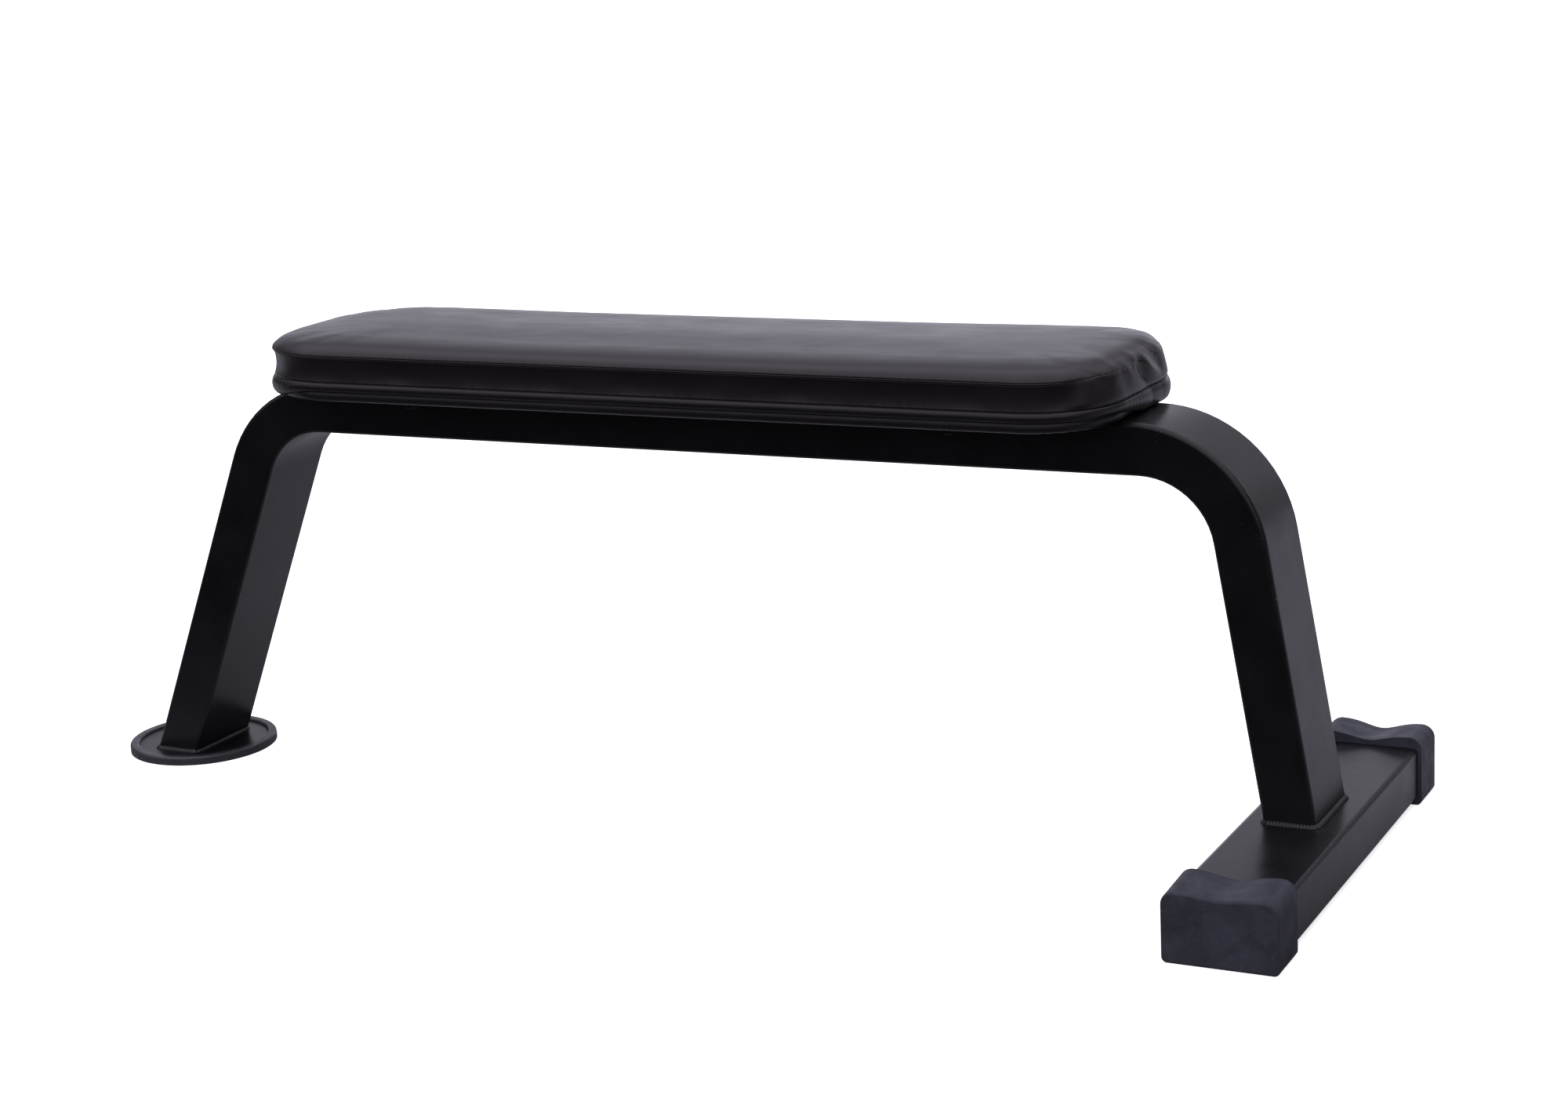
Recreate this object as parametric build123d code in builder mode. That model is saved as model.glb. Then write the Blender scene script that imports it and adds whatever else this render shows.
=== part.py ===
from build123d import *

import os
from math import atan2, cos, degrees, radians, tan

# Flat weight bench: one bent rectangular tube that stands on a round foot at the rear and on a
# T-shaped foot at the front, with an upholstered pad bolted to lugs on its rail.
# Millimetres. +X runs along the bench towards the T-foot, +Y to its left, +Z is up. The origin
# is on the floor, under the centre of the overall box.

# Driving dimensions of the whole bench
OVERALL_LENGTH = 1322.0
FOOT_SPREAD = 488.0  # across the T-foot, over its end caps
RAIL_TOP = 400.0

# Rectangular tube, bent on its flat side
TUBE_WIDTH = 90.0
TUBE_DEPTH = 47.0
TUBE_WALL = 3.0
TUBE_CORNER = 4.2
OUTER_BEND = 124.0
INNER_BEND = 67.0
REAR_LEAN = radians(22.9)
FRONT_LEAN = radians(9.55)
LEG_SETBACK = 2.3  # the front leg stands this far behind the crossbeam's centre line

# Crossbeam tube, laid flat
BEAM_WIDTH = 92.0
BEAM_DEPTH = 48.3
BEAM_CORNER = 4.5

# Rubber end caps of the crossbeam
CAP_LENGTH = 50.0
CAP_SIDE = 3.5
CAP_SOLE = 6.0
CAP_END = 12.0
CAP_INNER_BUMP = 10.0  # height of the corner bumps over the beam, at the cap's open end
CAP_INNER_DIP = 4.5  # height of the saddle between the bumps
CAP_OUTER_BUMP = {1: 8.5, -1: 7.0}  # at the closed end of the left (1) and right (-1) cap
CAP_OUTER_DIP = {1: 1.5, -1: 4.5}
CAP_TOP_CORNER = 12.0
CAP_SOLE_CORNER = 5.0
CAP_EDGE = 2.5

# Round rear foot: a steel plate pressed into a rubber cup
CUP_RADIUS = 76.0
CUP_HEIGHT = 8.7
CUP_RIM = 9.5
CUP_SOLE = 2.5
CUP_EDGE = 2.5
PLATE_THICKNESS = 3.5
PLATE_PLAY = 0.4

# Welds
FRONT_WELD = 5.0
REAR_WELD = 4.5
LUG_WELD = 4.0
WELD_TAPER = 42.0
WELD_BELLY = 0.6  # how far a lug weld's face bulges from its corner, as a share of its leg
LUG_WELD_END = 1.0  # each lug weld stops this far short of the lug's ends

# Pad outline
PAD_LENGTH = 878.0
PAD_WIDTH = 246.0
PAD_CENTRE_X = 33.0
PAD_REAR_CORNER = 98.0
PAD_FRONT_CORNER = 76.0

# Pad build-up, from the rail's top: dust cover, vinyl margin, board, foam, vinyl top
DUST_COVER = 0.8
VINYL = 1.2
BOARD_THICKNESS = 12.0
PAD_HEIGHT = 57.0
BOARD_INSET = 8.4  # from the pad's widest line to the board's edge
BAND_INSET = 3.5
MARGIN_WIDTH = 30.0
DUST_COVER_INSET = 15.0
PIPING = 7.0
PIPING_HEIGHT = 15.7
BAND_TOP = 43.4
WELT_HEIGHT = 1.8
WELT_PROUD = 2.0
WELT_EDGE = 0.6
TOP_ROUNDING = 12.5

# Pad fixing lugs
LUG_LENGTH = 50.0
LUG_THICKNESS = 5.0
LUG_REACH = 82.0  # from the bench's centre line
LUG_CORNER = 10.0
LUG_COPE = 5.0
BOLT_SPACING_X = 560.0
BOLT_SPACING_Y = 116.0

# M8 fixings
BOLT_RADIUS = 3.9
BOLT_LENGTH = 20.0
BOLT_TIP = 1.0
HEAD_ACROSS_FLATS = 13.0
HEAD_HEIGHT = 5.3
HEAD_CHAMFER = 0.6
LUG_HOLE = 4.5
WASHER_RADIUS = 8.0
WASHER_HOLE = 4.2
WASHER_THICKNESS = 1.6
SPRING_RADIUS = 7.0
SPRING_THICKNESS = 2.1
SPRING_SPLIT = 1.5
TEE_BORE = 4.0
TEE_BARREL = 5.0
TEE_BARREL_LENGTH = 10.0
TEE_FLANGE = 10.5
TEE_FLANGE_THICKNESS = 1.5
PRONG_RADIUS = 8.5
PRONG_THICKNESS = 1.2
PRONG_WIDTH = 3.0
PRONG_DEPTH = 6.0
DUST_HOLE = 7.0

# Staples that hold the margin and the dust cover to the board
STAPLE_COUNT = 44
STAPLE_INSET = 21.0
STAPLE_CROWN = 10.0
STAPLE_WIRE = 0.9
STAPLE_THICKNESS = 0.6
STAPLE_LEG = 8.0
STAPLE_CLEAR = 52.0  # no staples closer than this to the centre line, where the rail lies

# Worked-out heights
AXIS_HEIGHT = RAIL_TOP - TUBE_DEPTH / 2
PLATE_TOP = CUP_SOLE + PLATE_THICKNESS
BEAM_TOP = CAP_SOLE + BEAM_DEPTH
MARGIN_BOTTOM = RAIL_TOP + DUST_COVER
BOARD_BOTTOM = MARGIN_BOTTOM + VINYL
BOARD_TOP = BOARD_BOTTOM + BOARD_THICKNESS
PIPING_TOP = RAIL_TOP + PIPING_HEIGHT + PIPING / 2
WELT_BOTTOM = RAIL_TOP + BAND_TOP
WELT_TOP = WELT_BOTTOM + WELT_HEIGHT
PAD_TOP = RAIL_TOP + PAD_HEIGHT
LUG_BOTTOM = RAIL_TOP - LUG_THICKNESS
SPRING_TOP = LUG_BOTTOM - WASHER_THICKNESS
HEAD_TOP = SPRING_TOP - SPRING_THICKNESS

# Worked-out places along and across the bench
REAR_FOOT_X = -OVERALL_LENGTH / 2 + CUP_RADIUS
BEAM_X = OVERALL_LENGTH / 2 - CAP_SIDE - BEAM_WIDTH / 2
BEAM_LENGTH = FOOT_SPREAD - 2 * CAP_END
REAR, FRONT = -1, 1
LEAN = {REAR: REAR_LEAN, FRONT: FRONT_LEAN}
LEG_FOOT = {REAR: (REAR_FOOT_X, PLATE_TOP), FRONT: (BEAM_X - LEG_SETBACK, BEAM_TOP)}
FOAM_INSET = BAND_INSET + VINYL
LUG_X = {end: PAD_CENTRE_X + end * BOLT_SPACING_X / 2 for end in (REAR, FRONT)}
BOLT_PLACES = [(LUG_X[end], side * BOLT_SPACING_Y / 2) for end in (REAR, FRONT) for side in (1, -1)]


def leg_x(end, offset, height):
    """X at this height of a line beside a leg's axis, this far outside it."""
    foot_x, foot_height = LEG_FOOT[end]
    run = (foot_height - height) * tan(LEAN[end])
    return foot_x + end * (run + offset / cos(LEAN[end]))


def leg_corners(offset, past):
    """Corners of a line beside the frame's axis, from foot to foot, run this far past the cuts."""
    corner_height = AXIS_HEIGHT + offset
    rear_cut = LEG_FOOT[REAR][1] - past
    front_cut = LEG_FOOT[FRONT][1] - past
    return (
        (leg_x(REAR, offset, rear_cut), rear_cut),
        (leg_x(REAR, offset, corner_height), corner_height),
        (leg_x(FRONT, offset, corner_height), corner_height),
        (leg_x(FRONT, offset, front_cut), front_cut),
    )


def bent_bar(inset, past):
    """Solid bar on the frame's bent line, its skin this far inside the tube's."""
    offset = TUBE_DEPTH / 2 - inset
    with BuildPart() as bar:
        with BuildSketch(Plane.XZ):
            with BuildLine():
                outer = FilletPolyline(*leg_corners(offset, past), radius=OUTER_BEND - inset)
                inner = FilletPolyline(*leg_corners(-offset, past), radius=INNER_BEND + inset)
                Line(outer @ 0, inner @ 0)
                Line(outer @ 1, inner @ 1)
            make_face()
        extrude(amount=TUBE_WIDTH / 2 - inset, both=True)
        flanks = bar.faces().sort_by(Axis.Y)
        side_edges = flanks[0].edges() + flanks[-1].edges()
        long_edges = side_edges.filter_by(lambda edge: edge.center().Z > BEAM_TOP + 1)
        fillet(long_edges, radius=TUBE_CORNER - inset)
    return bar.part


# Frame: one bent tube, open at both cut ends, which the feet close
tube_skin = bent_bar(0, 0)
tube_bore = bent_bar(TUBE_WALL, 1)

with BuildPart() as frame_tube:
    add(tube_skin)
    add(tube_bore, mode=Mode.SUBTRACT)

# Crossbeam of the T-foot
with BuildPart() as front_crossbeam:
    with BuildSketch(Plane.XZ):
        with Locations((BEAM_X, CAP_SOLE + BEAM_DEPTH / 2)):
            RectangleRounded(BEAM_WIDTH, BEAM_DEPTH, BEAM_CORNER)
            RectangleRounded(
                BEAM_WIDTH - 2 * TUBE_WALL,
                BEAM_DEPTH - 2 * TUBE_WALL,
                BEAM_CORNER - TUBE_WALL,
                mode=Mode.SUBTRACT,
            )
    extrude(amount=BEAM_LENGTH / 2, both=True)


def cap_section(plane, bump, dip):
    """End view of a cap: flat sole, upright sides and a saddle between two corner bumps."""
    half = BEAM_WIDTH / 2 + CAP_SIDE
    peak = BEAM_TOP + bump
    shoulder = half - CAP_TOP_CORNER
    sole = half - CAP_SOLE_CORNER
    with BuildSketch(plane) as section:
        with BuildLine():
            Line((-sole, 0), (sole, 0))
            TangentArc((sole, 0), (half, CAP_SOLE_CORNER), tangent=(1, 0))
            Line((half, CAP_SOLE_CORNER), (half, peak - CAP_TOP_CORNER))
            TangentArc((half, peak - CAP_TOP_CORNER), (shoulder, peak), tangent=(0, 1))
            saddle = ((shoulder, peak), (0, BEAM_TOP + dip), (-shoulder, peak))
            Spline(*saddle, tangents=[(-1, 0), (-1, 0)])
            TangentArc((-shoulder, peak), (-half, peak - CAP_TOP_CORNER), tangent=(-1, 0))
            Line((-half, peak - CAP_TOP_CORNER), (-half, CAP_SOLE_CORNER))
            TangentArc((-half, CAP_SOLE_CORNER), (-sole, 0), tangent=(0, -1))
        make_face()
    return section.sketch


def end_cap(side):
    """Rubber cap on the crossbeam's end: side is 1 on the left and -1 on the right."""
    open_end = Plane((BEAM_X, side * (FOOT_SPREAD / 2 - CAP_LENGTH), 0), (-side, 0, 0), (0, side, 0))
    closed_end = open_end.offset(CAP_LENGTH)
    inner_section = cap_section(open_end, CAP_INNER_BUMP, CAP_INNER_DIP)
    outer_section = cap_section(closed_end, CAP_OUTER_BUMP[side], CAP_OUTER_DIP[side])
    with BuildPart() as cap:
        loft([inner_section, outer_section])
        closed_face = cap.faces().sort_by(Axis.Y)[-1 if side > 0 else 0]
        fillet(closed_face.edges(), radius=CAP_EDGE)
        with BuildSketch(open_end):
            with Locations((0, CAP_SOLE + BEAM_DEPTH / 2)):
                RectangleRounded(BEAM_WIDTH, BEAM_DEPTH, BEAM_CORNER)
        extrude(amount=CAP_LENGTH - CAP_END, mode=Mode.SUBTRACT)
    return cap


crossbeam_cap_left = end_cap(1)
crossbeam_cap_right = end_cap(-1)

# Round rear foot
with BuildPart() as rear_foot_cup:
    with BuildSketch():
        with Locations((REAR_FOOT_X, 0)):
            Circle(CUP_RADIUS)
    extrude(amount=CUP_HEIGHT)
    with BuildSketch(Plane.XY.offset(CUP_SOLE)):
        with Locations((REAR_FOOT_X, 0)):
            Circle(CUP_RADIUS - CUP_RIM)
    extrude(amount=CUP_HEIGHT, mode=Mode.SUBTRACT)
    fillet(rear_foot_cup.edges().group_by(Axis.Z)[-1], radius=CUP_EDGE)

with BuildPart() as rear_foot_plate:
    with BuildSketch(Plane.XY.offset(CUP_SOLE)):
        with Locations((REAR_FOOT_X, 0)):
            Circle(CUP_RADIUS - CUP_RIM - PLATE_PLAY)
    extrude(amount=PLATE_THICKNESS)


def weld_ring(end, size):
    """Weld bead round a leg's foot, lying against the leg and what it stands on."""
    foot_x, foot_height = LEG_FOOT[end]
    footprint = TUBE_DEPTH / cos(LEAN[end])
    with BuildPart() as bead:
        with BuildSketch(Plane.XY.offset(foot_height)):
            with Locations((foot_x, 0)):
                RectangleRounded(footprint + 2 * size, TUBE_WIDTH + 2 * size, TUBE_CORNER + size)
        extrude(amount=size, taper=WELD_TAPER)
        add(tube_skin, mode=Mode.SUBTRACT)
    return bead


rear_weld_bead = weld_ring(REAR, REAR_WELD)
front_weld_bead = weld_ring(FRONT, FRONT_WELD)


def fixing_lug(end, side):
    """Flat steel ear flush with the rail's top, coped to the tube's rounded edge."""
    inner = TUBE_WIDTH / 2 - LUG_COPE
    with BuildPart() as lug:
        with BuildSketch(Plane.XY.offset(LUG_BOTTOM)) as ear:
            with Locations((LUG_X[end], side * (inner + LUG_REACH) / 2)):
                Rectangle(LUG_LENGTH, LUG_REACH - inner)
            tips = ear.vertices().group_by(Axis.Y)[-1 if side > 0 else 0]
            fillet(tips, radius=LUG_CORNER)
        extrude(amount=LUG_THICKNESS)
        with Locations((LUG_X[end], side * BOLT_SPACING_Y / 2, RAIL_TOP)):
            Hole(LUG_HOLE)
        add(tube_skin, mode=Mode.SUBTRACT)
    return lug


pad_lugs = {}
for end_name, end in (("rear", REAR), ("front", FRONT)):
    for side_name, side in (("left", 1), ("right", -1)):
        pad_lugs[f"pad_lug_{end_name}_{side_name}"] = fixing_lug(end, side)

# One fillet weld under each lug, along the tube's side
with BuildPart() as lug_weld_beads:
    for end in (REAR, FRONT):
        for side in (1, -1):
            flank = side * TUBE_WIDTH / 2
            tip = flank + side * LUG_WELD
            belly = (flank + side * LUG_WELD * WELD_BELLY, LUG_BOTTOM - LUG_WELD * WELD_BELLY)
            with BuildSketch(Plane.YZ.offset(LUG_X[end])):
                with BuildLine():
                    Polyline((tip, LUG_BOTTOM), (flank, LUG_BOTTOM), (flank, LUG_BOTTOM - LUG_WELD))
                    ThreePointArc((flank, LUG_BOTTOM - LUG_WELD), belly, (tip, LUG_BOTTOM))
                make_face()
            extrude(amount=LUG_LENGTH / 2 - LUG_WELD_END, both=True)


def bolt_discs(radius, bottom, height, mode=Mode.ADD):
    """A disc at each of the four bolt places."""
    with BuildSketch(Plane.XY.offset(bottom)) as discs:
        with Locations(*BOLT_PLACES):
            Circle(radius)
    extrude(discs.sketch, amount=height, mode=mode)


# Hex bolts, put in from below
with BuildPart() as pad_bolts:
    with BuildSketch(Plane.XY.offset(HEAD_TOP - HEAD_HEIGHT)):
        with Locations(*BOLT_PLACES):
            RegularPolygon(HEAD_ACROSS_FLATS / 2, 6, major_radius=False)
    extrude(amount=HEAD_HEIGHT)
    chamfer(pad_bolts.edges().group_by(Axis.Z)[0], length=HEAD_CHAMFER)
    bolt_discs(BOLT_RADIUS, HEAD_TOP, BOLT_LENGTH)
    chamfer(pad_bolts.edges().group_by(Axis.Z)[-1], length=BOLT_TIP)

with BuildPart() as flat_washers:
    bolt_discs(WASHER_RADIUS, SPRING_TOP, WASHER_THICKNESS)
    bolt_discs(WASHER_HOLE, SPRING_TOP, WASHER_THICKNESS, mode=Mode.SUBTRACT)

with BuildPart() as spring_washers:
    bolt_discs(SPRING_RADIUS, HEAD_TOP, SPRING_THICKNESS)
    bolt_discs(WASHER_HOLE, HEAD_TOP, SPRING_THICKNESS, mode=Mode.SUBTRACT)
    with BuildSketch(Plane.XY.offset(HEAD_TOP)):
        with Locations(*BOLT_PLACES):
            Rectangle(SPRING_RADIUS + 1, SPRING_SPLIT, align=(Align.MIN, Align.CENTER))
    extrude(amount=SPRING_THICKNESS, mode=Mode.SUBTRACT)

# Tee nuts, hammered into the board from above: flange, threaded barrel and four prongs
with BuildPart() as tee_nuts:
    bolt_discs(TEE_FLANGE, BOARD_TOP - TEE_FLANGE_THICKNESS, TEE_FLANGE_THICKNESS)
    bolt_discs(TEE_BARREL, BOARD_TOP - TEE_BARREL_LENGTH, TEE_BARREL_LENGTH)
    bolt_discs(TEE_BORE, BOARD_TOP - TEE_BARREL_LENGTH, TEE_BARREL_LENGTH, mode=Mode.SUBTRACT)
    prong_bottom = BOARD_TOP - TEE_FLANGE_THICKNESS - PRONG_DEPTH
    with BuildSketch(Plane.XY.offset(prong_bottom)):
        with Locations(*BOLT_PLACES):
            with PolarLocations(PRONG_RADIUS, 4):
                Rectangle(PRONG_THICKNESS, PRONG_WIDTH)
    extrude(amount=PRONG_DEPTH)


def pad_line(inset):
    """Closed outline of the pad seen from above, this far inside its widest line."""
    half = PAD_WIDTH / 2 - inset
    rear = PAD_CENTRE_X - PAD_LENGTH / 2 + inset
    front = PAD_CENTRE_X + PAD_LENGTH / 2 - inset
    corners = [(rear, -half), (front, -half), (front, half), (rear, half)]
    rear_corner = PAD_REAR_CORNER - inset
    front_corner = PAD_FRONT_CORNER - inset
    radii = [rear_corner, front_corner, front_corner, rear_corner]
    return FilletPolyline(*corners, radius=radii, close=True)


def pad_layer(inset, bottom, top, mode=Mode.ADD):
    """Slab with the pad's outline, between two heights."""
    with BuildSketch(Plane.XY.offset(bottom)) as layer:
        with BuildLine():
            pad_line(inset)
        make_face()
    extrude(layer.sketch, amount=top - bottom, mode=mode)


# Staples: a crown under the dust cover and two legs up into the board
staple_line = Wire(pad_line(STAPLE_INSET).edges())
staple_places = []
for number in range(STAPLE_COUNT):
    share = (number + 0.5) / STAPLE_COUNT
    place = staple_line @ share
    along = staple_line % share
    if abs(place.Y) > STAPLE_CLEAR:
        staple_places.append(Location((place.X, place.Y, 0), (0, 0, degrees(atan2(along.Y, along.X)))))

with BuildPart() as cover_staples:
    with BuildSketch(Plane.XY.offset(RAIL_TOP - STAPLE_THICKNESS)):
        with Locations(*staple_places):
            Rectangle(STAPLE_CROWN, STAPLE_WIRE)
    extrude(amount=STAPLE_THICKNESS)
    with BuildSketch(Plane.XY.offset(RAIL_TOP)):
        with Locations(*staple_places):
            with GridLocations(STAPLE_CROWN - STAPLE_THICKNESS, 0, 2, 1):
                Rectangle(STAPLE_THICKNESS, STAPLE_WIRE)
    extrude(amount=STAPLE_LEG)

# Plywood board, counterbored for the tee nuts
with BuildPart() as pad_board:
    pad_layer(BOARD_INSET, BOARD_BOTTOM, BOARD_TOP)
    with Locations(*[(x, y, BOARD_TOP) for x, y in BOLT_PLACES]):
        CounterBoreHole(TEE_BARREL, TEE_FLANGE, TEE_FLANGE_THICKNESS)
    add(tee_nuts.part, mode=Mode.SUBTRACT)
    add(cover_staples.part, mode=Mode.SUBTRACT)

# Vinyl that runs down the board's edge and folds under it
with BuildPart() as cover_margin:
    pad_layer(BOARD_INSET - VINYL, MARGIN_BOTTOM, BOARD_TOP)
    pad_layer(BOARD_INSET, BOARD_BOTTOM, BOARD_TOP, mode=Mode.SUBTRACT)
    pad_layer(BOARD_INSET + MARGIN_WIDTH, MARGIN_BOTTOM, BOARD_BOTTOM, mode=Mode.SUBTRACT)
    add(cover_staples.part, mode=Mode.SUBTRACT)

with BuildPart() as dust_cover:
    pad_layer(DUST_COVER_INSET, RAIL_TOP, MARGIN_BOTTOM)
    bolt_discs(DUST_HOLE, RAIL_TOP, DUST_COVER, mode=Mode.SUBTRACT)
    add(cover_staples.part, mode=Mode.SUBTRACT)

# Foam: narrow where it sits on the board, full width above the piping
with BuildPart() as pad_foam:
    pad_layer(BOARD_INSET, BOARD_TOP, PIPING_TOP)
    pad_layer(FOAM_INSET, PIPING_TOP, PAD_TOP - VINYL)
    fillet(pad_foam.edges().group_by(Axis.Z)[-1], radius=TOP_ROUNDING - VINYL)

with BuildPart() as cover_side_band:
    pad_layer(BAND_INSET, PIPING_TOP, WELT_BOTTOM)
    pad_layer(FOAM_INSET, PIPING_TOP, WELT_BOTTOM, mode=Mode.SUBTRACT)

with BuildPart() as cover_top_panel:
    pad_layer(BAND_INSET, WELT_TOP, PAD_TOP)
    fillet(cover_top_panel.edges().group_by(Axis.Z)[-1], radius=TOP_ROUNDING - WELT_HEIGHT)
    add(pad_foam.part, mode=Mode.SUBTRACT)

with BuildPart() as cover_top_welt:
    pad_layer(BAND_INSET - WELT_PROUD, WELT_BOTTOM, WELT_TOP)
    fillet(cover_top_welt.edges(), radius=WELT_EDGE)
    pad_layer(FOAM_INSET, WELT_BOTTOM, WELT_TOP, mode=Mode.SUBTRACT)

# Piping round the lower edge of the band
with BuildPart() as cover_lower_piping:
    with BuildLine(Plane.XY.offset(RAIL_TOP + PIPING_HEIGHT)) as piping_line:
        pad_line(PIPING / 2)
    with BuildSketch(Plane(piping_line.line @ 0, z_dir=piping_line.line % 0)):
        Circle(PIPING / 2)
    sweep(path=piping_line.line)

pieces = {
    "frame_tube": frame_tube,
    "front_crossbeam": front_crossbeam,
    "front_weld_bead": front_weld_bead,
    "crossbeam_cap_left": crossbeam_cap_left,
    "crossbeam_cap_right": crossbeam_cap_right,
    "rear_foot_cup": rear_foot_cup,
    "rear_foot_plate": rear_foot_plate,
    "rear_weld_bead": rear_weld_bead,
    **pad_lugs,
    "lug_weld_beads": lug_weld_beads,
    "pad_bolts": pad_bolts,
    "flat_washers": flat_washers,
    "spring_washers": spring_washers,
    "tee_nuts": tee_nuts,
    "pad_board": pad_board,
    "pad_foam": pad_foam,
    "cover_top_panel": cover_top_panel,
    "cover_top_welt": cover_top_welt,
    "cover_side_band": cover_side_band,
    "cover_lower_piping": cover_lower_piping,
    "cover_margin": cover_margin,
    "dust_cover": dust_cover,
    "cover_staples": cover_staples,
}

os.makedirs("parts", exist_ok=True)
for name, piece in pieces.items():
    piece.part.label = name
    export_step(piece.part, f"parts/{name}.step")
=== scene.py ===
from math import pi, radians

import bpy
import numpy as np
from mathutils import Matrix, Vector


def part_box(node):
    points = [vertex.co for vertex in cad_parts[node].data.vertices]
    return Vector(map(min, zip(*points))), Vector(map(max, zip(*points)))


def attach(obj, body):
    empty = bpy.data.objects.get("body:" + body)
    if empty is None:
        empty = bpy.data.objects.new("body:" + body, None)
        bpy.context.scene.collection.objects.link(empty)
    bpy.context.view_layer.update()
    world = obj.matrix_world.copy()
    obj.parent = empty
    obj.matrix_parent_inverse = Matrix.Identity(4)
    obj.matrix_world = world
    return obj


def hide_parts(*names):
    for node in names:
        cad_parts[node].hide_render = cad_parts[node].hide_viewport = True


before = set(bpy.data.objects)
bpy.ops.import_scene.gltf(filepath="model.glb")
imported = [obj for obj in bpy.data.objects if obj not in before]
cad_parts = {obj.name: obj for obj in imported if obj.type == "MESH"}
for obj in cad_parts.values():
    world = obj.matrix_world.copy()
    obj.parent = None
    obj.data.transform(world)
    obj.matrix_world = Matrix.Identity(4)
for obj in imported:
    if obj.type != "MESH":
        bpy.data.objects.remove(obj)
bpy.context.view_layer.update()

# A flat weight bench: a bent steel tube on a round rear foot and a T-shaped front foot, under an
# upholstered pad. Metres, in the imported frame: +X towards the T-foot, +Z up, floor at z = 0.

MM = 0.001


# ---------------------------------------------------------------------------------------------
# Camera

CAMERA_PLACE = (1.3073, -2.3087, 0.8932)
CAMERA_TURN = radians(27.32)
CAMERA_TILT = radians(-13.89)
CAMERA_ROLL = radians(-3.05)
SENSOR_WIDTH = 36
LENS = 66.29
CLIP_END = 300  # beyond the floor's far edge

camera_data = bpy.data.cameras.new("camera")
camera_data.sensor_fit = "HORIZONTAL"
camera_data.sensor_width = SENSOR_WIDTH
camera_data.lens = LENS
camera_data.clip_end = CLIP_END
camera = bpy.data.objects.new("camera", camera_data)
camera.matrix_world = (
    Matrix.Translation(CAMERA_PLACE)
    @ Matrix.Rotation(CAMERA_TURN, 4, "Z")
    @ Matrix.Rotation(pi / 2 + CAMERA_TILT, 4, "X")
    @ Matrix.Rotation(CAMERA_ROLL, 4, "Z")
)
bpy.context.scene.collection.objects.link(camera)
bpy.context.scene.camera = camera


# ---------------------------------------------------------------------------------------------
# Materials, all made of nodes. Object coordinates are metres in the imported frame.

BLACK, GREY, WHITE = (0, 0, 0), (0.5, 0.5, 0.5), (1, 1, 1)
# A Mix node has sockets of one name for numbers, vectors and colours; these are the colours'
MIX_COLOUR_INPUTS = (0, 6, 7)
MIX_COLOUR_OUTPUT = 2


class Surface:
    """A node material and short ways to add to it."""

    def __init__(self, name, **sockets):
        self.material = bpy.data.materials.new(name)
        self.material.use_nodes = True
        self.tree = self.material.node_tree
        self.shader = self.tree.nodes["Principled BSDF"]
        for socket, value in sockets.items():
            self.shader.inputs[socket.replace("_", " ")].default_value = value

    def node(self, kind, inputs=(), **settings):
        made = self.tree.nodes.new(kind)
        for setting, value in settings.items():
            setattr(made, setting, value)
        for socket, value in dict(inputs).items():
            if isinstance(value, bpy.types.NodeSocket):
                self.tree.links.new(value, made.inputs[socket])
            else:
                made.inputs[socket].default_value = value
        return made

    def place(self, scale=(1, 1, 1), turn=(0, 0, 0)):
        """The point on the object, scaled per axis and turned."""
        where = self.node("ShaderNodeTexCoord").outputs["Object"]
        inputs = {"Vector": where, "Scale": scale, "Rotation": turn}
        return self.node("ShaderNodeMapping", inputs).outputs["Vector"]

    def noise(self, per_metre, detail=3, rough=0.5, scale=(1, 1, 1), warp=0.0):
        inputs = {
            "Vector": self.place(scale), "Scale": per_metre, "Detail": detail,
            "Roughness": rough, "Distortion": warp,
        }
        return self.node("ShaderNodeTexNoise", inputs).outputs["Fac"]

    def cells(self, per_metre, feature="SMOOTH_F1"):
        inputs = {"Vector": self.place(), "Scale": per_metre}
        return self.node("ShaderNodeTexVoronoi", inputs, feature=feature).outputs["Distance"]

    def ramp(self, value, stops):
        """A colour for each height of value."""
        made = self.node("ShaderNodeValToRGB", {"Fac": value})
        for point, (position, colour) in zip(made.color_ramp.elements, stops):
            point.position = position
            point.color = (*colour, 1)
        return made.outputs["Color"]

    def spread(self, value, low, high, start=0.3, end=0.7):
        """value from start..end, stretched to low..high."""
        inputs = {"Value": value, "From Min": start, "From Max": end, "To Min": low, "To Max": high}
        return self.node("ShaderNodeMapRange", inputs).outputs["Result"]

    def mix(self, factor, first, second):
        """The first colour where factor is 0, the second where it is 1."""
        made = self.node("ShaderNodeMix", data_type="RGBA")
        for index, value in zip(MIX_COLOUR_INPUTS, (factor, first, second)):
            if isinstance(value, bpy.types.NodeSocket):
                self.tree.links.new(value, made.inputs[index])
            else:
                made.inputs[index].default_value = (*value, 1)
        return made.outputs[MIX_COLOUR_OUTPUT]

    def bump(self, height, depth):
        """Adds relief of this depth in metres over what is there already."""
        inputs = {"Height": height, "Distance": depth, "Strength": 1.0}
        before = self.shader.inputs["Normal"].links
        if before:
            inputs["Normal"] = before[0].from_socket
        made = self.node("ShaderNodeBump", inputs)
        self.tree.links.new(made.outputs["Normal"], self.shader.inputs["Normal"])
        return self

    def drive(self, **sockets):
        for socket, output in sockets.items():
            self.tree.links.new(output, self.shader.inputs[socket.replace("_", " ")])


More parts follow.
